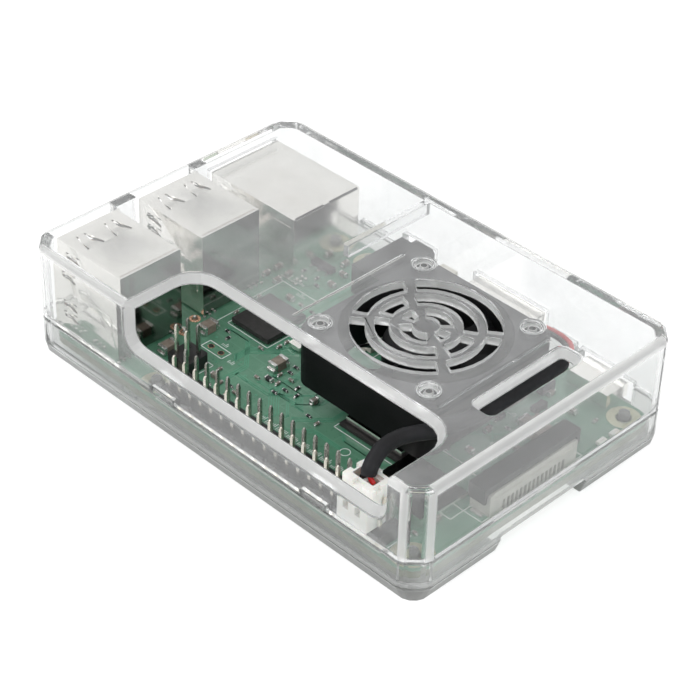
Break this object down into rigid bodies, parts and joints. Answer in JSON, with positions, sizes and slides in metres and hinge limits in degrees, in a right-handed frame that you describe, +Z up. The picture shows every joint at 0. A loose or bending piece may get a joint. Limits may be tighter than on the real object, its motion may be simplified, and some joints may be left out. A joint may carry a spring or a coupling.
{
  "type": "single board computer",
  "caption": "Single board computer with a pin header and ports, in a clear two-piece case whose lid carries a small square fan and its lead.",
  "frame": {"origin": "centre of the case's underside", "axes": "+X along the case towards the memory-card end, -Y towards the pin-header side, +Z up through the lid"},
  "size_m": [0.0914, 0.0606, 0.0222],
  "materials": {
    "clear_plastic": "clear, polished, with a faint frost on cut edges",
    "board_green": "satin solder mask over glass fibre",
    "black_plastic": "satin moulded",
    "chip_black": "matt moulded epoxy",
    "tinned_steel": "tinned, satin",
    "white_nylon": "natural nylon, satin",
    "red_wire": "smooth wire insulation",
    "ceramic_tan": "fired, matt",
    "ferrite_grey": "fired, matt",
    "contact_gold": "plated"
  },
  "bodies": {
    "base": {"case_base": "clear_plastic", "circuit_board": "board_green", "gpio_header": "black_plastic", "poe_header": "black_plastic", "usb_outer_shell": "tinned_steel", "usb_outer_upper_tongue": "white_nylon", "usb_outer_lower_tongue": "white_nylon", "usb_middle_shell": "tinned_steel", "usb_middle_upper_tongue": "white_nylon", "usb_middle_lower_tongue": "white_nylon", "ethernet_shell": "tinned_steel", "ethernet_contact_comb": "black_plastic", "hdmi_shell": "tinned_steel", "hdmi_tongue": "black_plastic", "power_socket_shell": "tinned_steel", "power_socket_tongue": "black_plastic", "audio_jack": "black_plastic", "display_connector": "white_nylon", "camera_connector": "white_nylon", "card_socket": "tinned_steel", "processor_package": "chip_black", "processor_heat_spreader": "tinned_steel", "usb_ethernet_chip": "chip_black", "wireless_shield": "tinned_steel", "power_chip": "chip_black", "power_inductor_1": "ferrite_grey", "power_inductor_2": "ferrite_grey", "clock_crystal": "tinned_steel", "input_capacitor": "ceramic_tan", "port_capacitor_1": "ceramic_tan", "port_capacitor_2": "ceramic_tan", "header_capacitor": "ceramic_tan", "power_light": "white_nylon", "activity_light": "white_nylon", "memory_chip": "chip_black"},
    "lid": {"case_lid": "clear_plastic", "fan_frame": "black_plastic", "fan_wire_red": "red_wire", "fan_wire_black": "black_plastic", "lead_sleeve": "black_plastic", "lead_plug": "white_nylon", "plug_ground_contact": "contact_gold", "plug_supply_contact": "contact_gold"},
    "fan_rotor": {"fan_rotor": "black_plastic"},
    "display_latch": {"display_latch": "black_plastic"},
    "camera_latch": {"camera_latch": "white_nylon"}
  },
  "joints": [
    {"name": "lid_lift", "type": "slide", "parent": "base", "child": "lid", "axis": [0, 0, 1], "range_m": [0, 0.03]},
    {"name": "fan_spin", "type": "hinge", "parent": "lid", "child": "fan_rotor", "pos_m": [0.0167, 0.0015, 0.0122], "axis": [0, 0, 1], "continuous": true},
    {"name": "display_latch_lift", "type": "slide", "parent": "base", "child": "display_latch", "axis": [0, 0, 1], "range_m": [0, 0.0015]},
    {"name": "camera_latch_lift", "type": "slide", "parent": "base", "child": "camera_latch", "axis": [0, 0, 1], "range_m": [0, 0.0015]}
  ]
}
